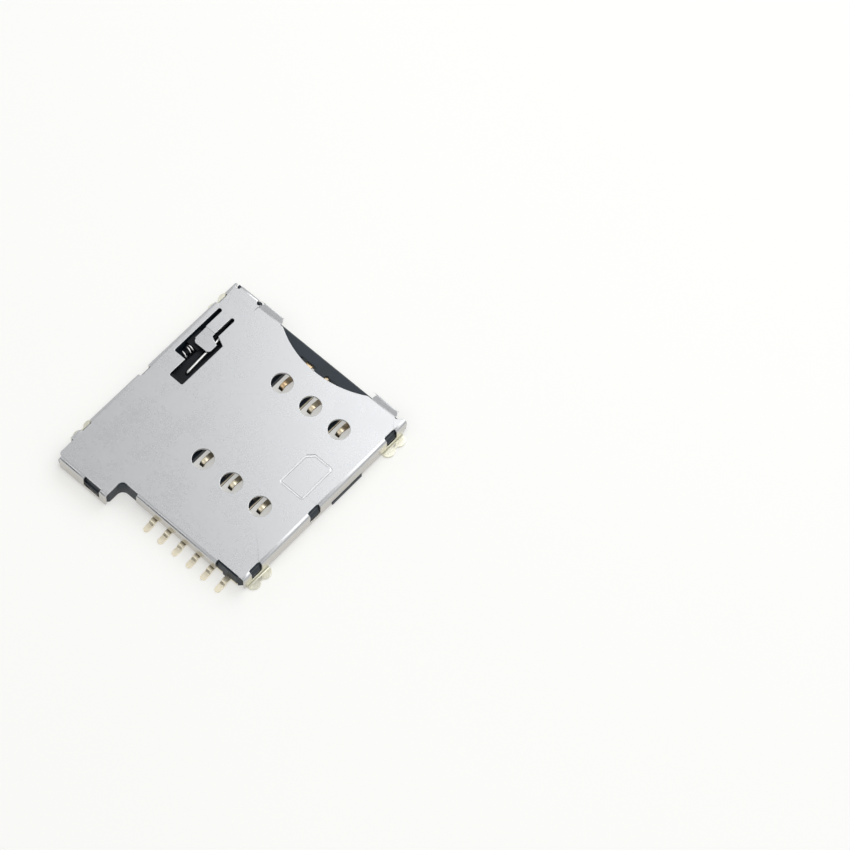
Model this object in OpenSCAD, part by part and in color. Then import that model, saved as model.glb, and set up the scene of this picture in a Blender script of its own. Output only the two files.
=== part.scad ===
// Push-push card socket: a moulded housing under a folded metal shell, six stamped contacts,
// and an eject slider with its spring and its cam-following lock pin.
// The datum of every module is the board plane under the centre of the contact field:
// +X points to the spring bay, +Y to the solder tails, and the card enters from -Y.

/* [Body] */
// Width over the folded side walls
body_w = 15.5; // [15.3:0.1:17]
// Length from the front edge to the back wall of the spring bay
body_l = 17.6; // [17.4:0.1:19]
// Height from the board to the top of the shell
body_h = 1.5; // [1.48:0.01:1.7]
// Thickness of the moulded floor
floor_t = 0.5; // [0.46:0.01:0.54]
// Length by which the spring bay stands out behind the tail edge
bay_step = 1.65; // [1.5:0.05:1.8]
// Width of the spring bay at the back
bay_w = 4.65; // [4.4:0.05:4.8]
// Thickness of the housing's side rails
rail_t = 0.3; // [0.25:0.05:0.4]

/* [Shell] */
// Thickness of the sheet
sheet_t = 0.15; // [0.12:0.01:0.16]
// Inside radius of the folds
fold_r = 0.1; // [0.08:0.01:0.12]
// Gap between the sheet and the moulding
shell_gap = 0.05; // [0.03:0.01:0.06]
// Height of the side walls' lower edge above the board
skirt_z = 0.25; // [0.22:0.01:0.3]
// Diameter of the inspection holes over the contacts
hole_d = 1.5; // [1:0.1:1.8]
// Radius of the finger notch in the front edge
notch_r = 7.5; // [6:0.1:9]
// Depth of the finger notch behind the plate's front edge
notch_depth = 1.05; // [0.6:0.05:1.2]
// Rise angle of the two lead-in lips
lip_angle = 18; // [10:1:18]
// Length of the solder tabs
tab_l = 2.05; // [1.6:0.05:2.2]
// Reach of the solder tabs beyond the side walls
tab_reach = 0.55; // [0.5:0.01:0.7]
// Length of the latch windows on the side folds
latch_l = 0.97; // [0.8:0.01:1.1]

/* [Contacts] */
// Distance from the left wall to the centre of the contact field
field_x = 5.45; // [5.4:0.01:5.6]
// Distance from the front edge to the centre of the contact field
field_y = 7.45; // [7.4:0.01:7.6]
// Spacing of the contact columns
column_pitch = 2.54; // [2.5:0.01:2.56]
// Spacing of the two contact rows
row_gap = 7.62; // [7.5:0.01:7.7]
// Thickness of the contact strip
strip_t = 0.15; // [0.1:0.01:0.16]
// Height of the strip's underside above the board
strip_z = 0.2; // [0.16:0.01:0.22]
// Height of the contact crowns above the board
crown_z = 1.1; // [0.9:0.01:1.2]
// Width of a beam at its root
beam_root_w = 0.56; // [0.44:0.02:0.6]
// Width of a beam at its tip
beam_tip_w = 0.34; // [0.26:0.02:0.4]
// Width of the solder tails
tail_w = 0.42; // [0.36:0.02:0.46]
// Reach of the tails behind the moulding
tail_reach = 1.25; // [1.1:0.05:1.4]

/* [Ejector] */
// Travel of the slider
stroke = 4.6; // [3.8:0.1:4.6]
// Diameter of the lock pin's wire
pin_d = 0.2; // [0.16:0.01:0.22]
// Swing of the lock pin over the full travel, in degrees
pin_swing = 4.3; // [3.8:0.1:4.4]
// Running clearance of the moving pieces
run_gap = 0.05; // [0.03:0.01:0.06]
// Outside diameter of the eject spring
spring_d = 0.8; // [0.72:0.01:0.82]
// Wire diameter of the eject spring
spring_wire = 0.12; // [0.08:0.01:0.13]
// Number of turns of the eject spring
spring_turns = 26; // [18:1:28]

/* [Hidden] */
$fn = 48;
// Overhang of a cutting tool past the face it cuts
cut = 0.1;
// Overlap of two lengths of one strip at a fold
lap = 0.01;

// Outer faces, from the contact field's centre
left = -field_x;
right = body_w - field_x;
front = -field_y;
back = body_l - field_y;
tail_edge = back - bay_step;
bay_left = right - bay_w;

// Faces of the moulding inside the shell
plate_under = body_h - sheet_t;
mould_left = left + sheet_t + shell_gap;
mould_right = right - sheet_t - shell_gap;
mould_back = back - sheet_t - 2 * shell_gap;
mould_top = plate_under - shell_gap / 2;
rail_face = mould_left + rail_t;

// Shell edges and folds
fold_out = fold_r + sheet_t;
plate_inset = 0.5;
plate_front = front + plate_inset;
plate_lap = 0.2;
corner_inset = 0.15;
corner_front = front + corner_inset;
corner_w = 0.65;
corner_tip = 0.05;
corner_relief = 0.15;
wall_slant = 0.4;
rear_step = 0.1;
wall_back = tail_edge + 2 * shell_gap + sheet_t;
rear_inset = 2.3;
rear_gap = 1.5;
rear_x0 = left + rear_inset;
rear_x1 = bay_left - rear_gap;
rear_z = 0.55;
bay_inset = 0.3;
plate_fillet = 0.3;
bay_x0 = bay_left - shell_gap;
bay_x1 = right - bay_inset;
bay_latch_in = 0.5;
bay_latch_l = 1.4;
front_wall_in = 2.3;
front_wall_out = 0.42;
front_wall_x0 = right - front_wall_in;
front_wall_x1 = right - front_wall_out;
relief_r = 0.17;
notch_x = 1.55;
lip_left_l = 2.05;
lip_right_in = 4.45;
lip_right_l = 1.9;
lip_left_x = left + corner_w + corner_relief;
lip_right_x = right - lip_right_in;
lip_fold_r = 0.6;
lip_l = 0.27;
lip_corner = 0.34;
tab_front = 1.57;
tab_rear = 1.38;
tab_rows = [front + tab_front, tail_edge - tab_rear];
tab_cusp = 0.2;
latch_front = 1.65;
latch_middle = 6.87;
latch_rear = 1.27;
latch_rows = [front + latch_front, tail_edge - latch_middle, tail_edge - latch_rear];
latch_bite = 0.3;
latch_drop = 1.0;
latch_corner = 0.15;
nose_out = 0.12;
nose_gap = 0.1;
nose_h = 0.2;
lug_start = 4.6;
lug_l = 2.85;
side_lug_y0 = front + lug_start;
side_lug_y1 = side_lug_y0 + lug_l;
side_lug_z = 0.4;
side_lug_out = 0.03;

// Sign of the card on the plate
mark_in = 2.22;
mark_x = left + mark_in;
mark_y = 0.12;
mark_size = [2.05, 3.05];
mark_line = 0.12;
mark_depth = 0.03;
mark_corner = 0.25;
mark_cut = 0.45;

// Window over the lock pin and the spring tongue in it
window_in = 2.75;
window_w = 1.17;
window_out = 0.58;
window_start = 4.3;
window_spring_l = 2.38;
window_pin_l = 3.93;
window_x0 = right - window_in;
window_x1 = window_x0 + window_w;
window_x2 = right - window_out;
window_y0 = front + window_start;
window_y1 = window_y0 + window_spring_l;
window_y2 = window_y0 + window_pin_l;
window_r = 0.12;
window_bevel = 0.35;
tongue_slot = 0.3;
tongue_w = 0.79;
tongue_l = 3.0;
tongue_past = 1;
tongue_head_w = 1.47;
tongue_head_l = 0.8;
tongue_taper = 0.07;
tongue_corner = 0.26;
tongue_dip = 1;
tongue_gap = 0.35;
tongue_x1 = window_x2 - tongue_gap;
tongue_x0 = tongue_x1 - tongue_w;
tongue_end = window_y0 + tongue_past;
tongue_root = tongue_end - tongue_l;
tongue_head_x = tongue_x1 - tongue_head_w;
tongue_head_y = tongue_end - tongue_head_l;

// Contact rows, their slots in the floor, and their strips
columns = [-column_pitch, 0, column_pitch];
crown_ahead = 0.2;
hole_rows = [-row_gap / 2, row_gap / 2];
row_front = hole_rows[0] - crown_ahead;
row_rear = hole_rows[1] - crown_ahead;
root_inset = 0.9;
root_front = front + root_inset;
root_rear = 0.43;
slot_left = beam_root_w;
slot_past = 0.95;
run_w = tail_w;
slim_run_w = 0.3;
cross_w = 0.45;
cross_bar = 0.25;
run_aside = 0.3;
run_front_dx = -column_pitch / 2 - run_aside;
run_bare = 0.02;
slot_right = column_pitch + run_front_dx - run_w / 2 + run_bare;
run_rear_dx = -0.88;
tail_rear_dx = -0.3;
jog_in = 0.95;
jog_y = tail_edge - jog_in;
jog_w = 0.3;
foot_l = 0.54;
foot_w = 0.22;
knee_l = 0.38;
tail_fold_r = 0.16;
tail_step = 0.32;
fold_step = 0.0015;
beam_fold_r = 0.8;
crown_r = 0.35;
crown_past = 60;
curl_l = 0.12;

// Outline and walls of the moulding
floor_corner = 0.45;
bay_corner = 0.3;
bay_fillet = 0.5;
rail_inset = 0.45;
rail_front = corner_front + rail_inset;
rear_wall_t = 1.5;
mouth_depth = 0.25;
mouth_run = 0.2;

// Openings and pockets on the underside
hold_size = [1.1, 0.8];
hold_y = hole_rows[0] + 1.55;
slit_w = 0.2;
slit_mid_l = 0.75;
slit_mid_y = 0.475;
slit_rear_l = 1.1;
slit_rear_y = 2.9;
vent_l = 0.55;
vent_in = 2.025;
vent_w = 0.6;
slim_vent_w = 0.4;
root_cut = [0.6, 0.32];
root_cut_at = [-0.32, -0.99];
punch_d = 0.32;
punch_past = 0.1;
slider_pocket = [0.62, 6.65];
slider_pocket_at = [right - 3.19, front + 7.875];
spring_pocket = [0.47, 2.5];
spring_pocket_at = [right - 0.625, front + 3.1];
mouth_pocket = [0.7, 3.3];
mouth_pocket_at = [right - 4.51, front + 2.75];
bay_pocket = [0.85, 0.35];
bay_pocket_at = [right - 0.975, back - 0.675];
gate_d = 0.56;
gate_at = [right - 4.14, tail_edge - 1.63];
insert_size = [1.36, 1.3];
insert_at = [right - 4.18, tail_edge - 1.7];
insert_line_w = 0.08;
insert_depth = 0.06;
seam_y = tail_edge - vent_in - vent_l / 2;
seam_past = 1.8;

// Slider
slider_in = 2.75;
slider_w = 1.2;
slider_start = 2.05;
slider_x0 = right - slider_in;
slider_x1 = slider_x0 + slider_w;
slider_y0 = front + slider_start;
slider_z0 = floor_t + run_gap / 2;
cam_drop = 0.48;
cam_rise = 0.18;
cam_z = body_h - cam_drop;
cam_floor_z = floor_t + cam_rise;
arm_in = 6.35;
arm_w = 0.9;
arm_clear = 0.83;
arm_y0 = tail_edge - arm_in;
arm_y1 = arm_y0 + arm_w;
arm_x0 = column_pitch + slot_right + arm_clear;
arm_z = plate_under - run_gap;
arm_lug_l = 0.94;
arm_lug_x1 = arm_x0 + arm_lug_l;
arm_lug_z = 0.1;
head_gap = 0.75;

// Spring channel and the slider's spring seat
spring_in = 1.05;
spring_lift = 0.32;
spring_x = right - spring_in;
spring_z = floor_t + spring_lift;
channel_x0 = slider_x1 - run_gap / 2;
channel_x1 = spring_x + spring_d / 2 + 2 * run_gap;
channel_z = spring_z - spring_d / 2 - run_gap;
channel_through = 2.05;
channel_ledge = 0.1;
seat_start = 5.55;
seat_l = 1.3;
seat_rise = 0.15;
seat_y1 = front + seat_start;
seat_y0 = seat_y1 - seat_l;
seat_x1 = channel_x1 - run_gap;
stop_t = 0.9;
spring_end = mould_back - stop_t;
post_gap = 0.07;
post_d = spring_d - 2 * (spring_wire + post_gap);
post_l = 0.6;
coil_steps = 12;
coil_sides = 6;

// Lock pin, its pivot and the groove it follows
pivot_in = 1.95;
pivot_start = 1.27;
tip_in = 2.25;
tip_start = 7.2;
pivot = [right - pivot_in, front + pivot_start];
pin_tip = [right - tip_in, front + tip_start];
pin_drop = 0.03;
pin_z = (cam_z + plate_under) / 2 - pin_drop;
pin_foot_z = 0.1;
pin_tip_z = cam_floor_z + run_gap;
pin_fold_r = 0.2;
pivot_block_z = pin_z - pin_d / 2 - run_gap / 2;
pivot_gap = 0.02;
pivot_bore = pin_d + 2 * pivot_gap;
pin_reach = norm(pin_tip - pivot);
pin_angle = atan2(pin_tip[1] - pivot[1], pin_tip[0] - pivot[0]);
groove_w = pin_d + 2 * run_gap;
groove_past = 0.05;
// Where the tip stands in the slider's own frame when the slider is fully in
groove_end = [
    pivot[0] + pin_reach * cos(pin_angle - pin_swing),
    pivot[1] + pin_reach * sin(pin_angle - pin_swing) - stroke - groove_past
];

// Moves a module from the contact field's datum to the middle of the body
module seated() {
    translate([field_x - body_w / 2, field_y - body_l / 2, 0]) children();
}

// Box between two corners
module block(a, b) {
    translate(a) cube(b - a);
}

// Rectangle between two corners
module area(a, b) {
    translate(a) square(b - a);
}

// Rectangle round a centre
module area_at(c, size) {
    translate(c - size / 2) square(size);
}

// Rectangle between two corners with rounded corners
module round_area(a, b, r) {
    area([a[0] + r, a[1]], [b[0] - r, b[1]]);
    area([a[0], a[1] + r], [b[0], b[1] - r]);
    for (x = [a[0] + r, b[0] - r], y = [a[1] + r, b[1] - r]) translate([x, y]) circle(r);
}

// Fillet in an inner corner that opens towards -X and +Y
module corner_fillet(corner, r) {
    difference() {
        area(corner - [r, lap], corner + [lap, r]);
        translate(corner + [-r, r]) circle(r);
    }
}

// Slot of a given width between two points, with round ends
module round_slot(a, b, w) {
    run = norm(b - a);
    translate(a) rotate(atan2(b[1] - a[1], b[0] - a[0])) {
        translate([0, -w / 2]) square([run, w]);
        circle(d = w);
        translate([run, 0]) circle(d = w);
    }
}

// Part of a ring between two angles less than half a turn apart
module ring_part(r_in, r_out, a0, a1) {
    far = 2 * r_out;
    mid = (a0 + a1) / 2;
    intersection() {
        difference() {
            circle(r_out);
            circle(r_in);
        }
        polygon([
            [0, 0],
            far * [cos(a0), sin(a0)],
            2 * far * [cos(mid), sin(mid)],
            far * [cos(a1), sin(a1)]
        ]);
    }
}

// Extrudes a profile drawn as (Y, Z) along X
module along_x(x0, x1) {
    translate([x0, 0, 0]) rotate([90, 0, 90]) linear_extrude(x1 - x0) children();
}

// Extrudes a profile drawn as (X, Z) along Y
module along_y(y0, y1) {
    translate([0, y1, 0]) rotate([90, 0, 0]) linear_extrude(y1 - y0) children();
}

// Extrudes a plan drawn as (X, Y) between two heights
module between(z0, z1) {
    translate([0, 0, z0]) linear_extrude(z1 - z0) children();
}

// Fold from the top plate down into a wall whose outer face is at the given distance
module wall_profile(face, z0) {
    translate([face - fold_out, body_h - fold_out]) ring_part(fold_r, fold_out, 0, 90);
    area([face - sheet_t, z0], [face, body_h - fold_out]);
}

// Wall with its fold along the back or, mirrored, along the front
module back_wall(face, x0, x1, z0) {
    along_x(x0, x1) wall_profile(face, z0);
}

// Plan of the top plate without its holes
module plate_plan() {
    area([left + fold_out, plate_front], [right - fold_out, tail_edge - rear_step]);
    area([rear_x0, tail_edge - plate_lap], [rear_x1, wall_back - fold_out]);
    area([rear_x1 - lap, tail_edge - plate_lap], [right - fold_out, tail_edge]);
    area([bay_x0, tail_edge - plate_lap], [bay_x1 - fold_out, back - fold_out]);
    round_area([bay_x1 - bay_w / 2, tail_edge - 2 * fold_out], [bay_x1, back - fold_out], fold_out);
    corner_fillet([bay_x0, tail_edge], plate_fillet);
    polygon([
        [left + fold_out, corner_front],
        [left + fold_out + corner_tip, corner_front],
        [left + corner_w, plate_front],
        [left + corner_w, plate_front + cut],
        [left + fold_out, plate_front + cut]
    ]);
    area([front_wall_x0 - relief_r, front + fold_out], [right - fold_out, plate_front + cut]);
}

// Tongue that presses on the lock pin
module tongue_plan() {
    area([tongue_x0, tongue_root - cut], [tongue_x1, tongue_end - tongue_corner]);
    intersection() {
        round_area([tongue_head_x, tongue_root], [tongue_x1 - tongue_taper, tongue_end], tongue_corner);
        polygon([
            [tongue_head_x, tongue_head_y],
            [tongue_x0, tongue_head_y - tongue_slot],
            [tongue_x1, tongue_head_y - tongue_slot],
            [tongue_x1, tongue_end],
            [tongue_head_x, tongue_end]
        ]);
    }
}

// Window round the tongue, through which the lock pin and the spring show
module window_plan() {
    slot_x0 = tongue_x0 - tongue_slot / 2;
    slot_x1 = window_x2 - tongue_slot / 2;
    slot_y = tongue_root + tongue_slot / 2;
    round_area([window_x0, window_y0], [window_x1, window_y2], window_r);
    round_area([tongue_x0 - tongue_slot, window_y0 - window_bevel], [window_x2, window_y1], window_r);
    polygon([
        [window_x0, window_y0 + window_r],
        [window_x0, window_y0],
        [tongue_x0 - tongue_slot, window_y0 - window_bevel],
        [tongue_x0, window_y0 + window_r]
    ]);
    round_slot([slot_x0, slot_y], [slot_x0, window_y0], tongue_slot);
    round_slot([slot_x1, slot_y], [slot_x1, window_y0], tongue_slot);
}

// Outline of a card with one cut corner, pressed in as the sign for the way in
module card_mark_plan(inset) {
    a = [mark_x - mark_size[0] / 2 + inset, mark_y - mark_size[1] / 2 + inset];
    b = a + mark_size - 2 * [inset, inset];
    difference() {
        round_area(a, b, mark_corner - inset);
        polygon([[b[0], a[1]], [b[0] - mark_cut, a[1]], [b[0], a[1] + mark_cut]]);
    }
}

// Solder tab: the wall runs down to the board and turns outwards into a foot with two lobes
module solder_tab(y) {
    lobe = tab_l / 4;
    intersection() {
        along_y(y - tab_l / 2, y + tab_l / 2) {
            translate([left - fold_r, sheet_t + fold_r]) ring_part(fold_r, fold_out, -90, 0);
            area([left, sheet_t + fold_r], [left + sheet_t, skirt_z + cut]);
            area([left - tab_reach - cut, 0], [left - fold_r, sheet_t]);
        }
        between(-cut, body_h) {
            for (side = [-1, 1])
                translate([left - tab_reach + lobe, y + side * lobe]) circle(lobe);
            area([left - tab_reach + tab_cusp, y - lobe], [left, y + lobe]);
            area([left - tab_reach + lobe, y - tab_l / 2], [left + 2 * sheet_t, y + tab_l / 2]);
        }
    }
}

// Side wall on the left, with its tabs, latch windows and the notch for the moulding's side lug
module side_wall(y1) {
    difference() {
        union() {
            along_y(corner_front, y1) mirror([1, 0]) wall_profile(-left, skirt_z);
            for (y = tab_rows) solder_tab(y);
        }
        for (y = latch_rows)
            along_x(left - cut, left + latch_bite) round_area(
                [y - latch_l / 2, body_h - latch_drop],
                [y + latch_l / 2, body_h + latch_drop],
                latch_corner
            );
        along_x(left - cut, left + fold_out + cut) polygon([
            [corner_front - cut, skirt_z - cut],
            [corner_front + wall_slant, skirt_z - cut],
            [corner_front - cut, body_h - fold_out]
        ]);
        block(
            [left - cut, side_lug_y0 - run_gap, 0],
            [left + sheet_t + cut, side_lug_y1 + run_gap, side_lug_z + run_gap]
        );
    }
}

// Lead-in lip flared up from the plate's front edge
module lip(x0, x1) {
    reach = lip_fold_r + sheet_t;
    run = reach * sin(lip_angle) + lip_l * cos(lip_angle);
    translate([0, plate_front, body_h + lip_fold_r]) intersection() {
        along_x(x0, x1) {
            ring_part(lip_fold_r, reach, -90 - lip_angle, -90);
            rotate(-lip_angle) area([-lip_l, -reach], [lap, -lip_fold_r]);
        }
        between(-body_h, body_h) round_area([x0, -run], [x1, lip_l], lip_corner);
    }
}

module shell_sheet() {
    difference() {
        between(plate_under, body_h) difference() {
            plate_plan();
            window_plan();
            for (x = columns, y = hole_rows) translate([x, y]) circle(d = hole_d);
            translate([notch_x, plate_front + notch_depth - notch_r]) circle(notch_r, $fn = 200);
            for (x = [front_wall_x0, front_wall_x1])
                round_slot([x, front], [x, front + fold_out], 2 * relief_r);
            for (x = [left, right], y = latch_rows) round_area(
                [x - latch_bite, y - latch_l / 2],
                [x + latch_bite, y + latch_l / 2],
                latch_corner
            );
        }
        between(body_h - mark_depth, body_h + cut) difference() {
            card_mark_plan(0);
            card_mark_plan(mark_line);
        }
    }
    translate([0, tongue_root, plate_under]) rotate([-tongue_dip, 0, 0])
        translate([0, -tongue_root, 0]) linear_extrude(sheet_t) tongue_plan();
    side_wall(tail_edge - rear_step);
    translate([left + right, 0, 0]) mirror([1, 0, 0]) side_wall(tail_edge);
    back_wall(wall_back, rear_x0, rear_x1, rear_z);
    difference() {
        back_wall(back, bay_x0, bay_x1 - fold_out, skirt_z);
        block(
            [bay_left + bay_latch_in, back - latch_bite, body_h - latch_drop],
            [bay_left + bay_latch_in + bay_latch_l, back + cut, body_h + cut]
        );
    }
    mirror([0, 1, 0])
        back_wall(-front, front_wall_x0 + relief_r, front_wall_x1 - relief_r, floor_t + run_gap);
    lip(lip_left_x, lip_left_x + lip_left_l);
    lip(lip_right_x, lip_right_x + lip_right_l);
}

module shell() {
    color("#c8cacb") seated() shell_sheet();
}

// Length of the straight part between two folds of one radius sum that climb a given height
function straight_part(d, rise, radii) = sqrt(d * d + (radii - rise) * (radii - rise) - radii * radii);
function climb_angle(d, rise, radii) =
    atan2(rise - radii, d) + atan2(radii, straight_part(d, rise, radii));

// Side view of a sloping length of strip, a hair thinner than the folds that it joins
module strip_length(l, tip = 0) {
    translate([-lap, fold_step - strip_t / 2]) square([l + lap + tip, strip_t - 2 * fold_step]);
}

// Side view of a beam: a fold up, a straight climb, and a crown that curls back down
module beam_profile(root, crown) {
    z = strip_z + strip_t / 2;
    rise = crown_z - strip_t / 2 - z;
    radii = beam_fold_r + crown_r;
    climb = climb_angle(crown - root, rise, radii);
    run = straight_part(crown - root, rise, radii);
    half = strip_t / 2;
    area([root - cut, strip_z], [root, strip_z + strip_t]);
    translate([root, z + beam_fold_r]) {
        ring_part(beam_fold_r - half, beam_fold_r + half, -90, climb - 90);
        rotate(climb) translate([0, -beam_fold_r]) strip_length(run, lap);
    }
    translate([crown, crown_z - half - crown_r]) {
        ring_part(crown_r - half, crown_r + half, 90 - crown_past, 90 + climb);
        rotate(-crown_past) translate([0, crown_r]) strip_length(curl_l);
    }
}

// Beam that tapers from its root to its tip
module beam(x, root, crown) {
    intersection() {
        along_x(x - slot_left, x + slot_left) beam_profile(root, crown);
        between(0, body_h) polygon([
            [x - beam_root_w / 2, root - cut],
            [x + beam_root_w / 2, root - cut],
            [x + beam_tip_w / 2, crown],
            [x + beam_tip_w / 2, crown + slot_past],
            [x - beam_tip_w / 2, crown + slot_past],
            [x - beam_tip_w / 2, crown]
        ]);
    }
}

// Tail that leaves the moulding, steps down to the board and ends round
module tail(x) {
    half = strip_t / 2;
    slope = climb_angle(tail_step, strip_z, 2 * tail_fold_r);
    knee = tail_edge + knee_l;
    heel = knee + tail_step;
    end = tail_edge + tail_reach;
    intersection() {
        along_x(x - tail_w, x + tail_w) {
            area([tail_edge - cut, strip_z], [knee, strip_z + strip_t]);
            translate([knee, strip_z + half - tail_fold_r]) {
                ring_part(tail_fold_r - half, tail_fold_r + half, 90 - slope, 90);
                rotate(-slope) translate([0, tail_fold_r])
                    strip_length(straight_part(tail_step, strip_z, 2 * tail_fold_r), lap);
            }
            translate([heel, half + tail_fold_r])
                ring_part(tail_fold_r - half, tail_fold_r + half, -90 - slope, -90);
            area([heel, 0], [end, strip_t]);
        }
        between(0, body_h) round_slot([x, tail_edge - tail_w], [x, end - tail_w / 2], tail_w);
    }
}

// Flat strip that the floor is moulded round
module strip_plan(x, root, run_dx, run_width, tail_dx) {
    run_x = x + run_dx;
    tail_x = x + tail_dx;
    cross_y = root - cross_w;
    area([run_x - run_width / 2, cross_y], [x + beam_root_w / 2, cross_y + cross_bar]);
    area([x - beam_root_w / 2, cross_y], [x + beam_root_w / 2, root]);
    area([run_x - run_width / 2, cross_y], [run_x + run_width / 2, jog_y + jog_w]);
    area([min(run_x, tail_x) - run_width / 2, jog_y], [tail_x + tail_w / 2, jog_y + jog_w]);
    area([tail_x - tail_w / 2, jog_y], [tail_x + tail_w / 2, tail_edge]);
    area([tail_x - tail_w / 2 - foot_l, tail_edge - foot_w], [tail_x + tail_w / 2, tail_edge]);
}

module strip_front(x) {
    between(strip_z, strip_z + strip_t) strip_plan(x, root_front, run_front_dx, run_w, run_front_dx);
}

module strip_rear(x) {
    between(strip_z, strip_z + strip_t) strip_plan(x, root_rear, run_rear_dx, slim_run_w, tail_rear_dx);
}

module contact_front(i) {
    color("#e8dcb4") seated() {
        strip_front(columns[i]);
        beam(columns[i], root_front, row_front);
        tail(columns[i] + run_front_dx);
    }
}

module contact_rear(i) {
    color("#e8dcb4") seated() {
        strip_rear(columns[i]);
        beam(columns[i], root_rear, row_rear);
        tail(columns[i] + tail_rear_dx);
    }
}

// Outline of the floor
module floor_plan() {
    difference() {
        union() {
            area([mould_left, front], [mould_right, tail_edge]);
            area([bay_left, plate_front], [mould_right, mould_back]);
            corner_fillet([bay_left, tail_edge], bay_fillet);
        }
        polygon([
            [mould_left - cut, tail_edge - floor_corner - cut],
            [mould_left - cut, tail_edge + cut],
            [mould_left + floor_corner + cut, tail_edge + cut]
        ]);
        polygon([
            [bay_left - cut, mould_back - bay_corner],
            [bay_left - cut, mould_back + cut],
            [bay_left + bay_corner, mould_back + cut]
        ]);
    }
}

// Standing walls: rails, rear wall and bay
module walls_plan() {
    area([mould_left, rail_front], [rail_face, tail_edge]);
    area([mould_left, tail_edge - rear_wall_t], [arm_x0 - run_gap, tail_edge]);
    area([arm_x0 - run_gap - cut, arm_y1 + stroke + run_gap], [mould_right, tail_edge]);
    area([bay_left - bay_fillet, tail_edge - cut], [bay_x1 - fold_out, mould_back - shell_gap]);
    area([channel_x1, rail_front], [mould_right, tail_edge]);
}

// Latch noses and the lug at the foot of the left side, which the shell's windows and notch fit
module side_features() {
    nose_z = body_h - latch_drop + nose_gap;
    for (y = latch_rows)
        along_y(y - latch_l / 2 + run_gap, y + latch_l / 2 - run_gap) polygon([
            [mould_left + cut, nose_z],
            [mould_left - nose_out, nose_z],
            [mould_left - nose_out, nose_z + nose_h],
            [mould_left + cut, mould_top - shell_gap]
        ]);
    block([left - side_lug_out, side_lug_y0, 0], [mould_left + cut, side_lug_y1, side_lug_z]);
}

// Openings on the underside, where the strips were held in the mould
module underside_cuts() {
    for (x = columns) {
        run_x = x + run_front_dx;
        slim_x = x + run_rear_dx;
        area_at([run_x, hold_y], hold_size);
        area_at([run_x, slit_mid_y], [slit_w, slit_mid_l]);
        for (slit = [run_x, slim_x]) area_at([slit, slit_rear_y], [slit_w, slit_rear_l]);
        area_at([run_x, tail_edge - vent_in], [vent_w, vent_l]);
        area_at([slim_x, tail_edge - vent_in], [slim_vent_w, vent_l]);
        area_at([x, root_rear] + root_cut_at, root_cut);
        translate([run_x, root_front + punch_past]) circle(d = punch_d);
    }
}

// Blind pockets on the underside that keep the moulding's walls even
module underside_pockets() {
    area_at(slider_pocket_at, slider_pocket);
    area_at(spring_pocket_at, spring_pocket);
    area_at(mouth_pocket_at, mouth_pocket);
    area_at(bay_pocket_at, bay_pocket);
    translate(gate_at) circle(d = gate_d);
}

// Witness lines of the mould: round the insert beside the slider's slot, and along the row of vents
module insert_line() {
    difference() {
        area_at(insert_at, insert_size);
        area_at(insert_at, insert_size - 2 * [insert_line_w, insert_line_w]);
    }
    area(
        [columns[0] + run_front_dx, seam_y - insert_line_w],
        [columns[2] + run_rear_dx + seam_past, seam_y]
    );
}

// Lead-in chamfer at the mouth
module mouth_chamfer() {
    along_x(mould_left - cut, slider_x0) polygon([
        [front - cut, floor_t - mouth_depth],
        [front + mouth_run, floor_t + cut],
        [front - cut, floor_t + cut]
    ]);
}

// Slot under a beam, in which it can be pressed down
module beam_slot(x, root, crown) {
    block([x - slot_left, root, -cut], [x + slot_right, crown + slot_past, floor_t + cut]);
}

module housing_moulding() {
    difference() {
        union() {
            between(0, floor_t) floor_plan();
            intersection() {
                between(0, mould_top) walls_plan();
                between(0, mould_top) floor_plan();
            }
            block(
                [slider_x0, corner_front, 0],
                [channel_x1 + cut, slider_y0 - run_gap, pivot_block_z]
            );
            for (x = [front_wall_x0, front_wall_x1]) block(
                [x - relief_r + run_gap, front + run_gap, 0],
                [x + relief_r - run_gap, corner_front + cut, mould_top]
            );
            side_features();
            translate([left + right, 0, 0]) mirror([1, 0, 0]) side_features();
        }
        for (x = columns) {
            strip_front(x);
            strip_rear(x);
            beam_slot(x, root_front, row_front);
            beam_slot(x, root_rear, row_rear);
            for (tail_x = [x + run_front_dx, x + tail_rear_dx])
                block(
                    [tail_x - tail_w / 2 - foot_l, tail_edge - foot_w, -cut],
                    [tail_x + tail_w / 2, tail_edge + cut, strip_z + strip_t]
                );
        }
        between(-cut, floor_t + cut) underside_cuts();
        between(-cut, floor_t / 2) underside_pockets();
        between(-cut, insert_depth) insert_line();
        mouth_chamfer();
        block(
            [arm_x0 - run_gap, arm_y0 - run_gap, -cut],
            [arm_lug_x1 + run_gap, arm_y1 + stroke + run_gap, floor_t + cut]
        );
        block([channel_x0, seat_y0 - run_gap, channel_z], [channel_x1, spring_end, body_h]);
        block(
            [channel_x0, tail_edge - channel_through, -cut],
            [channel_x1, spring_end - channel_ledge, body_h]
        );
        translate([pivot[0], pivot[1], -cut]) cylinder(h = body_h, d = pivot_bore);
        translate([pivot[0], pivot[1], -cut]) cylinder(h = cut + floor_t / 2, d = 2 * pin_d);
        translate([pivot[0], pivot[1], pivot_block_z - pin_d])
            cylinder(h = 2 * pin_d, d1 = pivot_bore, d2 = pivot_bore + 2 * pin_d);
    }
    translate([spring_x, spring_end + cut, spring_z]) rotate([90, 0, 0])
        cylinder(h = post_l + cut, d = post_d);
}

module housing() {
    color("#3a4651") seated() housing_moulding();
}

// Cam groove: a slanted push leg, a straight return leg, and the turn with its catch
module cam_groove_plan() {
    turn = [pin_tip[0], groove_end[1]];
    round_slot(pin_tip, groove_end, groove_w);
    round_slot(pin_tip, turn, groove_w);
    round_slot(turn, groove_end, groove_w);
    translate([(turn[0] + groove_end[0]) / 2, turn[1] + groove_w / 2]) circle(d = groove_w / 2);
}

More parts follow.
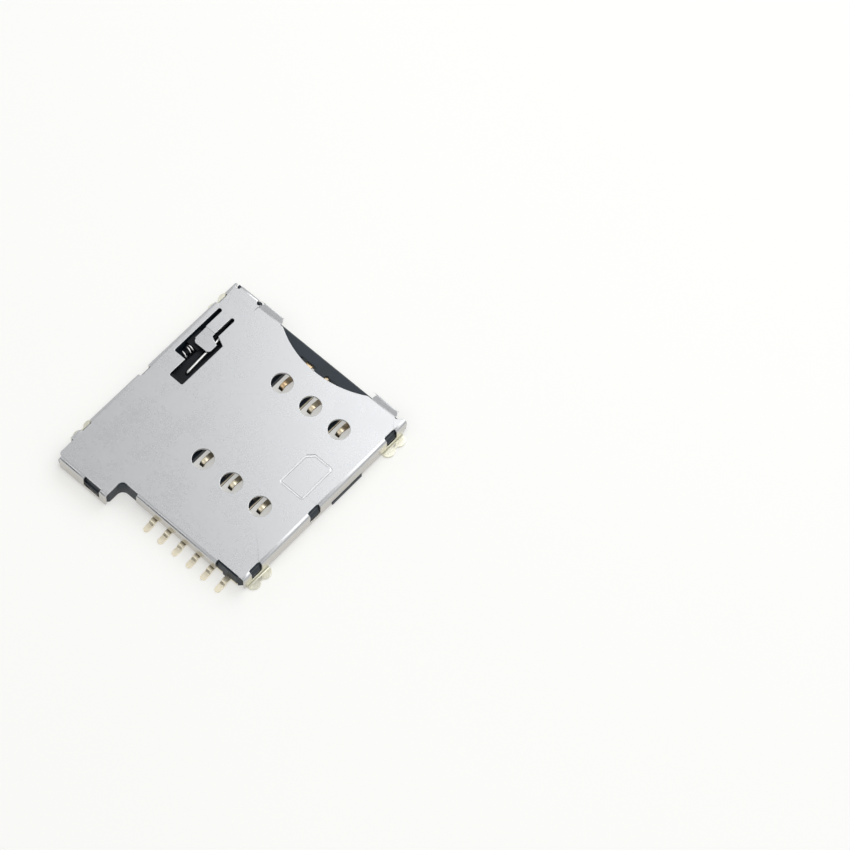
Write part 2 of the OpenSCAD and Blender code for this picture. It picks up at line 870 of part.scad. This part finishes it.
module slider_moulding() {
    difference() {
        union() {
            block([slider_x0, slider_y0, slider_z0], [slider_x1, arm_y1, cam_z]);
            block([slider_x0, pin_tip[1] + head_gap, slider_z0], [slider_x1, arm_y1, arm_z]);
            block([arm_x0, arm_y0, slider_z0], [slider_x1, arm_y1, arm_z]);
            block([arm_x0, arm_y0, arm_lug_z], [arm_lug_x1, arm_y1, slider_z0 + cut]);
            block([slider_x1 - cut, seat_y0, slider_z0], [seat_x1, seat_y1, cam_z + seat_rise]);
            block(
                [channel_x0 + run_gap, seat_y0, channel_z + run_gap],
                [seat_x1, seat_y1, slider_z0 + cut]
            );
            translate([spring_x, seat_y1 + post_l, spring_z]) rotate([90, 0, 0])
                cylinder(h = post_l + cut, d = post_d);
        }
        between(cam_floor_z, body_h) cam_groove_plan();
    }
}

module slider() {
    color("#2c343b") seated() slider_moulding();
}

// Turns of the eject spring, with one closed turn at each end
function spring_rise(turn) =
    let(
        open = (spring_end - seat_y1 - 3 * spring_wire) / (spring_turns - 2),
        past = max(0, turn - spring_turns + 1),
        middle = min(max(0, turn - 1), spring_turns - 2)
    )
    min(turn, 1) * spring_wire + middle * open + past * spring_wire;

// Point on the wire's surface, at a turn along the coil and an angle round the wire
function spring_point(turn, around) =
    let(r = (spring_d - spring_wire) / 2 + spring_wire / 2 * cos(around))
    [
        spring_x + r * cos(360 * turn),
        seat_y1 + spring_wire / 2 + spring_rise(turn) + spring_wire / 2 * sin(around),
        spring_z + r * sin(360 * turn)
    ];

module spring_coil() {
    sides = coil_sides;
    rings = spring_turns * coil_steps;
    points = [for (i = [0:rings], j = [0:sides - 1]) spring_point(i / coil_steps, 360 * j / sides)];
    skin = [
        for (i = [0:rings - 1], j = [0:sides - 1])
            let(a = i * sides, b = a + sides, next = (j + 1) % sides)
            [a + j, a + next, b + next, b + j]
    ];
    first = [for (j = [0:sides - 1]) sides - 1 - j];
    last = [for (j = [0:sides - 1]) rings * sides + j];
    polyhedron(points, concat(skin, [first, last]), convexity = 20);
}

module eject_spring() {
    color("#d5d7d8") seated() spring_coil();
}

// Quarter bend of the lock pin's wire, from pointing up to pointing along +X
module wire_bend() {
    translate([pin_fold_r, 0, 0]) rotate([90, 0, 0]) rotate([0, 0, 90])
        rotate_extrude(angle = 90) translate([pin_fold_r, 0]) circle(d = pin_d);
}

module pin_wire() {
    translate([pivot[0], pivot[1], 0]) rotate(pin_angle) {
        translate([0, 0, pin_foot_z]) cylinder(h = pin_z - pin_fold_r - pin_foot_z, d = pin_d);
        translate([0, 0, pin_z - pin_fold_r]) wire_bend();
        translate([pin_fold_r, 0, pin_z]) rotate([0, 90, 0])
            cylinder(h = pin_reach - 2 * pin_fold_r, d = pin_d);
        translate([pin_reach, 0, pin_z - pin_fold_r]) mirror([1, 0, 0]) wire_bend();
        translate([pin_reach, 0, pin_tip_z]) cylinder(h = pin_z - pin_fold_r - pin_tip_z, d = pin_d);
    }
}

module lock_pin() {
    color("#dcdddd") seated() pin_wire();
}

housing();
shell();
contact_front(0);  // contact_front_1
contact_front(1);  // contact_front_2
contact_front(2);  // contact_front_3
contact_rear(0);  // contact_rear_1
contact_rear(1);  // contact_rear_2
contact_rear(2);  // contact_rear_3
slider();
eject_spring();
lock_pin();
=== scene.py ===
"""Looks of a push-push card socket: a satin plated cover over a dark moulded base with pale gold contacts."""
import math

import bmesh
import bpy
from mathutils import Matrix, Vector


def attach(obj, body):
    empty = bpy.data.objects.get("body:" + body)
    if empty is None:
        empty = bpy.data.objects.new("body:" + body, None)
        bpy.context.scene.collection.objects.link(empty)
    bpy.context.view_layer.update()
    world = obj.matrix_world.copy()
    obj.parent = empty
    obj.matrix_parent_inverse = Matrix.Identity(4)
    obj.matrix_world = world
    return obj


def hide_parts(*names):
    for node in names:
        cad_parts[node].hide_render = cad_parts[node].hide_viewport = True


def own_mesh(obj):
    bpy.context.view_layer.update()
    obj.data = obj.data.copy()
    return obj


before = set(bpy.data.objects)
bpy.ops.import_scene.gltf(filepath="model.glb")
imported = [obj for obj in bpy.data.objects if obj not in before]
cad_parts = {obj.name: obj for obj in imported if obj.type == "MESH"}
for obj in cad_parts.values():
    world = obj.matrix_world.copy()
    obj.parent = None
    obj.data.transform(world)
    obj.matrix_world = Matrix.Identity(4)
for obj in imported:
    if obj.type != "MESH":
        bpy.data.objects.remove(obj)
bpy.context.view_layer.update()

MM = 0.001

# The photograph's view: where the lens points on the board plane, and how it is turned
AIM = Vector((-8.31, -9.844, 0)) * MM
VIEW_AZIMUTH = math.radians(128.116)
VIEW_ELEVATION = math.radians(63.04)
VIEW_ROLL = math.radians(4.084)
VIEW_DISTANCE = 253.99 * MM
SENSOR_W = 36.0
FOCAL_PIXELS = 3832.4
IMAGE_PIXELS = 850

# Light: the surround and the table's glow as shares of white
FILL_LEVEL = 0.58
CEILING_LEVEL = 0.66
HORIZON_LEVEL = 0.45
BACK_LEVEL = 0.12
TABLE_GLOW = 0.44

# Heights on the surround, as sines, over which it brightens from the horizon and dims to the ceiling
HORIZON_BAND = (0.15, 0.5)
CEILING_BAND = (0.5, 0.85)

# Dim patch of the surround behind the tails: azimuth and elevation in degrees, and the cosines of its fade
BACK_PLACE = (66, 22)
BACK_FADE = (0.925, 0.965)

# Lamps: azimuth and elevation in degrees, distance and width in metres, power in watts, tint
KEY_LAMP = (150, 76, 0.6, 0.42, 1.1, (1.0, 0.99, 0.97))
FRONT_LAMP = (271, 51.3, 0.188, 0.16, 0.096, (1.0, 1.0, 1.0))
SIDE_LAMP = (218, 56, 0.5, 0.32, 0.17, (1.0, 0.98, 0.95))
BACK_LAMP = (58, 51, 0.6, 0.30, 0.14, (1.0, 0.99, 0.97))

# Places on the part, in millimetres
HALF_W = 7.75
TAIL_EDGE = 7.15
TAB_ROWS = (-7.23, 5.77)
TAB_L = 2.05
# PLATE_LOW and WALL_TOP: the heights over which the sheet's painted wall reflection fades in
PLATE_LOW, WALL_TOP = 1.40, 1.25
MARK_CENTRE = (-5.53, -1.23)
MARK_SIZE = (1.93, 2.93)
MARK_CORNER, MARK_CUT, MARK_LINE, MARK_HEIGHT = 0.25, 0.45, 0.22, 0.003

# The floor lies this far under the part, in millimetres, so that their faces never share a plane
FLOOR_GAP = 0.02
FLOOR_HALF_W = 1.5

# Rounding of the edges by kind of piece, and how near facets' corners are joined, in millimetres
SHEET_EDGE, BASE_EDGE, SLIDER_EDGE, STRIP_EDGE = 0.03, 0.025, 0.03, 0.02
WELD_REACH = 0.002

# Eject spring: its axis, its two ends and its wire
SPRING_X, SPRING_Z = 6.70, 0.82
SPRING_SEAT, SPRING_STOP = -3.25, 7.65
SPRING_D, SPRING_WIRE, SPRING_TURNS = 0.80, 0.12, 26
SPRING_WIRE_SIDES, STEPS_PER_TURN = 12, 28

# Lock pin: the foot in its bore, the straight run over the slider and the tip in the groove
PIN_PIVOT = Vector((5.80, -7.53, 0))
PIN_TIP = Vector((5.50, -1.60, 0))
PIN_D, PIN_FOLD = 0.20, 0.20
PIN_FOOT_Z, PIN_RUN_Z, PIN_TIP_Z = 0.10, 1.155, 0.73
PIN_SIDES, PIN_BEND_STEPS, PIN_END_ROUND = 20, 10, 0.04


def look_direction(azimuth, elevation):
    """Unit vector from the part towards a place at these angles."""
    flat = math.cos(elevation)
    return Vector((flat * math.cos(azimuth), flat * math.sin(azimuth), math.sin(elevation)))


def make_camera():
    """Lens fitted to the contact grid, so that the part lies in the picture as it does in the photograph."""
    back = look_direction(VIEW_AZIMUTH, VIEW_ELEVATION)
    right = Vector((0, 0, 1)).cross(back).normalized()
    up = back.cross(right)
    rolled_right = math.cos(VIEW_ROLL) * right + math.sin(VIEW_ROLL) * up
    rolled_up = math.cos(VIEW_ROLL) * up - math.sin(VIEW_ROLL) * right
    turn = Matrix((rolled_right, rolled_up, back)).transposed().to_4x4()
    data = bpy.data.cameras.new("camera")
    data.sensor_width = SENSOR_W
    data.lens = FOCAL_PIXELS / IMAGE_PIXELS * SENSOR_W
    data.clip_start = 0.01
    camera = bpy.data.objects.new("camera", data)
    camera.matrix_world = Matrix.Translation(AIM + back * VIEW_DISTANCE) @ turn
    bpy.context.scene.collection.objects.link(camera)
    bpy.context.scene.camera = camera


class Finish:
    """A material under construction: its node tree, its shader and a few short ways to add nodes."""

    def __init__(self, name, metallic=0.0, roughness=0.5):
        self.material = bpy.data.materials.new(name)
        self.material.use_nodes = True
        self.tree = self.material.node_tree
        self.shader = self.tree.nodes["Principled BSDF"]
        self.shader.inputs["Metallic"].default_value = metallic
        self.shader.inputs["Roughness"].default_value = roughness
        self.place = self.tree.nodes.new("ShaderNodeTexCoord").outputs["Object"]

    def node(self, kind, inputs=(), **settings):
        made = self.tree.nodes.new(kind)
        for key, value in settings.items():
            setattr(made, key, value)
        for key, value in dict(inputs).items():
            self.feed(made.inputs[key], value)
        return made

    def feed(self, socket, value):
        if isinstance(value, bpy.types.NodeSocket):
            self.tree.links.new(value, socket)
        else:
            socket.default_value = value

    def millimetres(self, stretch=(1, 1, 1)):
        """Object coordinates in millimetres, squeezed along an axis for a drawn-out grain."""
        scale = [1000 * s for s in stretch]
        return self.node("ShaderNodeMapping", {"Vector": self.place, "Scale": scale}).outputs[0]

    def grain(self, per_mm, detail=3.0, stretch=(1, 1, 1)):
        made = self.node("ShaderNodeTexNoise", {
            "Vector": self.millimetres(stretch), "Scale": per_mm, "Detail": detail, "Roughness": 0.6})
        return made.outputs["Fac"]

    def math(self, operation, a, b=0.0):
        return self.node("ShaderNodeMath", {0: a, 1: b}, operation=operation).outputs[0]

    def between(self, value, low, high, out_low=0.0, out_high=1.0):
        made = self.node("ShaderNodeMapRange", {
            "Value": value, "From Min": low, "From Max": high, "To Min": out_low, "To Max": out_high})
        return made.outputs["Result"]

    def blend(self, share, a, b):
        made = self.node("ShaderNodeMix", data_type="RGBA")
        self.feed(made.inputs["Factor"], share)
        self.feed(made.inputs[6], a)
        self.feed(made.inputs[7], b)
        return made.outputs[2]

    def axis(self, name):
        split = self.node("ShaderNodeSeparateXYZ", {"Vector": self.millimetres()})
        return split.outputs[name]

    def relief(self, height, depth_mm, normal=None):
        inputs = {"Height": height, "Strength": 1.0, "Distance": depth_mm * MM}
        if normal is not None:
            inputs["Normal"] = normal
        return self.node("ShaderNodeBump", inputs).outputs["Normal"]

    def set(self, socket, value):
        self.feed(self.shader.inputs[socket], value)


def colour(r, g, b):
    return (r, g, b, 1.0)


def card_mark(f):
    """Height of the coined outline of a card: a rounded rectangle with one corner cut, as one soft ridge."""
    centre, half = Vector(MARK_CENTRE), Vector(MARK_SIZE) / 2
    across = f.math("SUBTRACT", f.axis("X"), centre.x)
    along = f.math("SUBTRACT", f.axis("Y"), centre.y)
    past_x = f.math("SUBTRACT", f.math("ABSOLUTE", across), half.x - MARK_CORNER)
    past_y = f.math("SUBTRACT", f.math("ABSOLUTE", along), half.y - MARK_CORNER)
    out_x, out_y = f.math("MAXIMUM", past_x, 0.0), f.math("MAXIMUM", past_y, 0.0)
    round_off = f.math("SQRT", f.math("ADD", f.math("MULTIPLY", out_x, out_x), f.math("MULTIPLY", out_y, out_y)))
    within = f.math("MINIMUM", f.math("MAXIMUM", past_x, past_y), 0.0)
    outline = f.math("SUBTRACT", f.math("ADD", round_off, within), MARK_CORNER)
    slant = f.math("MULTIPLY", f.math("SUBTRACT", f.math("SUBTRACT", across, along),
                                      half.x + half.y - MARK_CUT), math.sqrt(0.5))
    away = f.math("ABSOLUTE", f.math("MAXIMUM", outline, slant))
    return f.between(away, MARK_LINE / 2, 0.0)


def plated_sheet():
    """Satin nickel on rolled sheet, with a pale gold flash on the solder tabs. The walls below the plate are
    tinted warmer and darker as a painted reflection of the floor, and the card mark is lightened as a painted
    highlight.
    """
    f = Finish("plated_sheet", metallic=1.0)
    speckle = f.grain(3.5, 3.0)
    cloud = f.grain(0.5, 2.0)
    rolled = f.grain(5.0, 3.0, (1.0, 0.12, 1.0))
    plate_nickel = f.blend(f.between(speckle, 0.3, 0.7), colour(0.577, 0.586, 0.599), colour(0.587, 0.597, 0.611))
    # Below the plate the walls blend to a warmer, darker nickel: a painted reflection of the warm floor and its
    # shade
    nickel_and_painted_wall_reflection = f.blend(f.between(f.axis("Z"), PLATE_LOW, WALL_TOP), plate_nickel, colour(0.570, 0.550, 0.518))
    gold = f.blend(f.between(speckle, 0.3, 0.7), colour(0.68, 0.67, 0.56), colour(0.74, 0.73, 0.63))
    outside = f.math("MULTIPLY", f.between(f.math("ABSOLUTE", f.axis("X")), HALF_W - 0.16, HALF_W - 0.08),
                     f.between(f.axis("Z"), 0.9, 0.5))
    near = []
    for row in TAB_ROWS:
        away = f.math("ABSOLUTE", f.math("SUBTRACT", f.axis("Y"), row))
        near.append(f.between(away, TAB_L / 2 + 0.06, TAB_L / 2))
    flash = f.math("MULTIPLY", outside, f.math("ADD", near[0], near[1]))
    line = card_mark(f)
    plated = f.blend(flash, nickel_and_painted_wall_reflection, gold)
    # Along the card mark the colour is lightened towards pale nickel: a painted highlight on the coined ridge,
    # whose real relief is set below
    f.set("Base Color", f.blend(f.between(line, 0.2, 0.7, 0.0, 0.8), plated, colour(0.76, 0.77, 0.78)))
    rough = f.math("ADD", f.between(speckle, 0.25, 0.75, 0.26, 0.30), f.between(cloud, 0.3, 0.7, -0.02, 0.02))
    f.set("Roughness", rough)
    grained = f.relief(speckle, 0.00012, f.relief(rolled, 0.0001))
    f.set("Normal", f.relief(line, MARK_HEIGHT, grained))
    return f.material


def moulded_plastic(name, dark, light, gloss):
    """Glass-filled moulding: a slate tone with fine spark texture and faint flow marks."""
    f = Finish(name)
    spark = f.grain(16.0, 4.0)
    flow = f.grain(0.8, 3.0, (1.0, 0.35, 1.0))
    tone = f.math("ADD", f.between(spark, 0.3, 0.7, 0.0, 0.6), f.between(flow, 0.3, 0.7, 0.0, 0.4))
    f.set("Base Color", f.blend(tone, dark, light))
    f.set("Roughness", f.between(spark, 0.25, 0.75, 0.42, 0.62))
    f.set("Specular IOR Level", gloss)
    f.set("Normal", f.relief(spark, 0.004))
    return f.material


def contact_plating():
    """Gold flash over nickel, champagne pale on the solder tails; towards the front row the beams turn darker
    and warmer in patches, a painted reflection of the darker surround.
    """
    f = Finish("contact_plating", metallic=1.0)
    drawn = f.grain(6.0, 3.0, (1.0, 0.2, 1.0))
    spots = f.grain(3.0, 2.0)
    # Towards the front row the beams turn darker and warmer in patches: a painted reflection of the darker
    # surround
    front_row_share = f.between(f.axis("Y"), 0.0, -3.0)
    front_painted_reflection = f.math("MULTIPLY", front_row_share, f.between(f.grain(0.45, 2.0), 0.42, 0.58, 0.0, 0.8))
    gold = f.blend(f.between(drawn, 0.3, 0.7), colour(0.76, 0.67, 0.49), colour(0.83, 0.76, 0.60))
    gold_and_painted_reflection = f.blend(front_painted_reflection, gold, colour(0.62, 0.42, 0.22))
    pale = f.blend(f.between(spots, 0.3, 0.7), colour(0.82, 0.75, 0.58), colour(0.90, 0.84, 0.68))
    tail = f.between(f.axis("Y"), TAIL_EDGE - 0.1, TAIL_EDGE + 0.05)
    f.set("Base Color", f.blend(tail, gold_and_painted_reflection, pale))
    f.set("Roughness", f.math("ADD", f.between(spots, 0.25, 0.75, 0.28, 0.38), f.math("MULTIPLY", tail, 0.03)))
    f.set("Normal", f.relief(drawn, 0.0006))
    return f.material


def drawn_wire(name):
    """Bright steel wire with fine lines along its length."""
    f = Finish(name, metallic=1.0)
    lines = f.grain(10.0, 3.0, (1.0, 0.25, 1.0))
    f.set("Base Color", f.blend(f.between(lines, 0.3, 0.7), colour(0.66, 0.66, 0.66), colour(0.80, 0.80, 0.79)))
    f.set("Roughness", f.between(lines, 0.25, 0.75, 0.16, 0.32))
    f.set("Normal", f.relief(lines, 0.0015))
    return f.material


def pale_card():
    """White table lit from below, for the eye and for mirrors; it still takes the part's shadow."""
    f = Finish("pale_floor", roughness=0.9)
    f.set("Base Color", f.blend(f.grain(0.02, 2.0), colour(0.54, 0.55, 0.55), colour(0.56, 0.57, 0.57)))
    path = f.node("ShaderNodeLightPath").outputs
    mirrored = f.math("MAXIMUM", path["Is Glossy Ray"], path["Is Transmission Ray"])
    seen = f.math("MAXIMUM", path["Is Camera Ray"], mirrored)
    f.set("Emission Color", colour(1.0, 0.985, 0.95))
    f.set("Emission Strength", f.math("MULTIPLY", seen, TABLE_GLOW))
    return f.material


def add_piece(name, shape, material):
    mesh = bpy.data.meshes.new(name)
    for face in shape.faces:
        face.smooth = True
    shape.to_mesh(mesh)
    shape.free()
    piece = bpy.data.objects.new(name, mesh)
    bpy.context.scene.collection.objects.link(piece)
    mesh.materials.append(material)
    return piece


def ring_of(geom):
    return [e for e in geom if isinstance(e, bmesh.types.BMEdge)]


def wind_spring():
    """Coil wound from a round wire: a closed turn, the open turns, and a closed turn."""
    shape = bmesh.new()
    radius = (SPRING_D - SPRING_WIRE) / 2 * MM
    wire = SPRING_WIRE * MM
    start = Vector((SPRING_X * MM + radius, SPRING_SEAT * MM + wire / 2, SPRING_Z * MM))
    bmesh.ops.create_circle(shape, cap_ends=True, segments=SPRING_WIRE_SIDES, radius=wire / 2,
                            matrix=Matrix.Translation(start))
    open_turns = SPRING_TURNS - 2
    open_run = (SPRING_STOP - SPRING_SEAT) * MM - 3 * wire
    ring = shape.edges[:]
    for turns, rise in ((1, wire), (open_turns, open_run), (1, wire)):
        steps = STEPS_PER_TURN * turns
        spun = bmesh.ops.spin(
            shape, geom=ring, cent=(SPRING_X * MM, 0, SPRING_Z * MM), axis=(0, -1, 0),
            dvec=(0, rise / steps, 0), angle=2 * math.pi * turns, steps=steps, use_duplicate=False)
        ring = ring_of(spun["geom_last"])
    bmesh.ops.contextual_create(shape, geom=ring)
    bmesh.ops.recalc_face_normals(shape, faces=shape.faces[:])
    spring = add_piece("wound_spring", shape, drawn_wire("spring_wire"))
    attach(spring, "base")
    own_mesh(spring)
    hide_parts("eject_spring")


def bend_pin():
    """Lock pin bent from one wire: a foot, a quarter bend, the run, a quarter bend and the tip."""
    shape = bmesh.new()
    along = (PIN_TIP - PIN_PIVOT).normalized()
    side = Vector((0, 0, 1)).cross(along)
    reach = (PIN_TIP - PIN_PIVOT).length
    bmesh.ops.create_circle(shape, cap_ends=True, segments=PIN_SIDES, radius=PIN_D / 2 * MM,
                            matrix=Matrix.Translation((PIN_PIVOT + Vector((0, 0, PIN_FOOT_Z))) * MM))
    ring = shape.edges[:]

    def run_on(ring, step):
        grown = bmesh.ops.extrude_edge_only(shape, edges=ring)["geom"]
        bmesh.ops.translate(shape, vec=step * MM, verts=[v for v in grown if isinstance(v, bmesh.types.BMVert)])
        return [e for e in grown if isinstance(e, bmesh.types.BMEdge) and all(v in grown for v in e.verts)]

    def turn_over(ring, centre):
        spun = bmesh.ops.spin(shape, geom=ring, cent=centre * MM, axis=side, angle=math.pi / 2,
                              steps=PIN_BEND_STEPS)
        return ring_of(spun["geom_last"])

    low = Vector((0, 0, PIN_RUN_Z - PIN_FOLD))
    ring = run_on(ring, Vector((0, 0, PIN_RUN_Z - PIN_FOLD - PIN_FOOT_Z)))
    ring = turn_over(ring, PIN_PIVOT + low + along * PIN_FOLD)
    ring = run_on(ring, along * (reach - 2 * PIN_FOLD))
    ring = turn_over(ring, PIN_TIP + low - along * PIN_FOLD)
    ring = run_on(ring, Vector((0, 0, PIN_TIP_Z - PIN_RUN_Z + PIN_FOLD)))
    bmesh.ops.contextual_create(shape, geom=ring)
    bmesh.ops.recalc_face_normals(shape, faces=shape.faces[:])
    rims = [e for e in shape.edges if any(len(f.verts) > 4 for f in e.link_faces)]
    bmesh.ops.bevel(shape, geom=rims, offset=PIN_END_ROUND * MM, offset_type="OFFSET", affect="EDGES",
                    segments=3, profile=0.5, material=-1)
    pin = add_piece("bent_lock_pin", shape, drawn_wire("pin_wire"))
    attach(pin, "lock_pin")
    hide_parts("lock_pin")


def soften_edges(node, width_mm, segments=2, angle=30):
    """Joins a solid's facets and rounds its edges a little, so that they catch the light."""
    weld = node.modifiers.new("join", "WELD")
    weld.merge_threshold = WELD_REACH * MM
    bevel = node.modifiers.new("edge", "BEVEL")
    bevel.width = width_mm * MM
    bevel.segments = segments
    bevel.limit_method = "ANGLE"
    bevel.angle_limit = math.radians(angle)
    bevel.use_clamp_overlap = False
    bevel.loop_slide = False


def dress(name, material, edge_mm):
    """Gives a solid its finish and its softened edges."""
    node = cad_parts[name]
    node.data.materials.clear()
    node.data.materials.append(material)
    soften_edges(node, edge_mm)


def make_floor():
    """Plain pale table under the part."""
    shape = bmesh.new()
    bmesh.ops.create_grid(shape, x_segments=1, y_segments=1, size=FLOOR_HALF_W,
                          matrix=Matrix.Translation((0, 0, -FLOOR_GAP * MM)))
    floor = add_piece("floor", shape, pale_card())


def make_lamp(name, azimuth, elevation, distance, width, power, tint):
    """Soft round lamp that faces the part."""
    direction = look_direction(math.radians(azimuth), math.radians(elevation))
    data = bpy.data.lights.new(name, "AREA")
    data.shape = "DISK"
    data.size = width
    data.energy = power
    data.color = tint
    lamp = bpy.data.objects.new(name, data)
    lamp.matrix_world = (Matrix.Translation(direction * distance)
                         @ direction.to_track_quat("Z", "Y").to_matrix().to_4x4())
    bpy.context.scene.collection.objects.link(lamp)
    return lamp


def make_light():
    """White sweep, dimmer overhead and behind the tails, a fill for matt surfaces, and four soft lamps.

    The key lamp stays out of mirrors, so that the plate doesn't burn out when it is seen from above.
    """
    world = bpy.data.worlds.new("studio")
    bpy.context.scene.world = world
    world.use_nodes = True
    tree = world.node_tree

    def add(kind, **settings):
        made = tree.nodes.new(kind)
        for key, value in settings.items():
            setattr(made, key, value)
        return made

    def join(operation, a, b):
        made = add("ShaderNodeMath", operation=operation)
        tree.links.new(a, made.inputs[0])
        tree.links.new(b, made.inputs[1])
        return made.outputs[0]

    def ease(value, low, high, out_low, out_high):
        made = add("ShaderNodeMapRange", interpolation_type="SMOOTHSTEP")
        for key, number in (("From Min", low), ("From Max", high), ("To Min", out_low), ("To Max", out_high)):
            made.inputs[key].default_value = number
        tree.links.new(value, made.inputs["Value"])
        return made.outputs["Result"]

    path = add("ShaderNodeLightPath").outputs
    towards = add("ShaderNodeTexCoord").outputs["Generated"]
    height = add("ShaderNodeSeparateXYZ")
    tree.links.new(towards, height.inputs[0])
    horizon = ease(height.outputs["Z"], *HORIZON_BAND, HORIZON_LEVEL, 1.0)
    overhead = ease(height.outputs["Z"], *CEILING_BAND, 1.0, CEILING_LEVEL)
    ceiling = join("MULTIPLY", horizon, overhead)
    facing = add("ShaderNodeVectorMath", operation="DOT_PRODUCT")
    tree.links.new(towards, facing.inputs[0])
    facing.inputs[1].default_value = look_direction(*map(math.radians, BACK_PLACE))
    back = ease(facing.outputs["Value"], *BACK_FADE, 1.0, BACK_LEVEL)
    mirrored = join("MAXIMUM", path["Is Glossy Ray"], path["Is Transmission Ray"])
    level = ease(mirrored, 0.0, 1.0, FILL_LEVEL, 1.0)
    room = join("MULTIPLY", level, join("MULTIPLY", ceiling, back))
    background = tree.nodes["Background"]
    background.inputs["Color"].default_value = (1, 1, 1, 1)
    tree.links.new(join("MAXIMUM", room, path["Is Camera Ray"]), background.inputs["Strength"])
    key = make_lamp("key", *KEY_LAMP)
    key.visible_glossy = False
    make_lamp("front", *FRONT_LAMP)
    make_lamp("side", *SIDE_LAMP)
    make_lamp("back", *BACK_LAMP)


sheet = plated_sheet()
base_plastic = moulded_plastic("base_plastic", colour(0.008, 0.014, 0.021), colour(0.016, 0.028, 0.042), 0.5)
slider_plastic = moulded_plastic("slider_plastic", colour(0.003, 0.004, 0.006), colour(0.008, 0.010, 0.013), 0.2)
plating = contact_plating()

make_camera()
wind_spring()
bend_pin()
dress("shell", sheet, SHEET_EDGE)
dress("housing", base_plastic, BASE_EDGE)
dress("slider", slider_plastic, SLIDER_EDGE)
for row in ("front", "rear"):
    for number in (1, 2, 3):
        dress("contact_%s_%d" % (row, number), plating, STRIP_EDGE)
make_floor()
make_light()
bpy.context.scene.view_settings.view_transform = "Standard"
